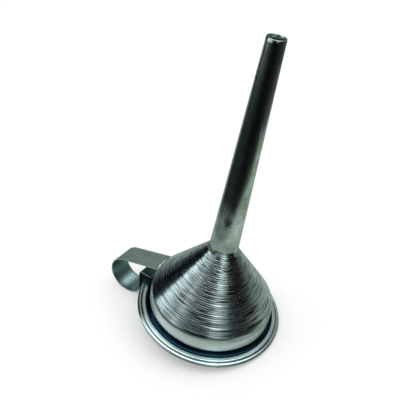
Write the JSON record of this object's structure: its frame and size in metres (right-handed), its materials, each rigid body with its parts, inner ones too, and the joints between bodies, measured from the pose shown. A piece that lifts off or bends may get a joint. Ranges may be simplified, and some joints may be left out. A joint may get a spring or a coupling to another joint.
{
  "type": "funnel",
  "caption": "Small sheet-steel funnel with a spun cone, a rolled rim, a long tapered spout and a strap handle bent into a finger ring.",
  "frame": {"origin": "centre of the mouth, on the plane of the rolled rim", "axes": "+Z along the funnel's axis, from the mouth towards the spout's tip; the handle points along -X"},
  "size_m": [0.1314, 0.1, 0.2156],
  "materials": {
    "spun_zinc": "zinc-plated sheet steel, spun, with fine rings left by the spinning tool",
    "zinc_sheet": "zinc-plated sheet steel, rolled and drawn, smooth and bright",
    "zinc_strap": "zinc-plated steel strip, satin",
    "solder": "dull filler metal, slightly rough",
    "steel_wire": "drawn steel wire, bare"
  },
  "bodies": {
    "root": {"bowl": "spun_zinc", "rim_wire": "steel_wire", "spout": "zinc_sheet", "spout_seam": "solder", "spout_solder": "solder", "handle_strap": "zinc_strap", "upper_handle_weld": "solder", "lower_handle_weld": "solder"}
  },
  "joints": []
}
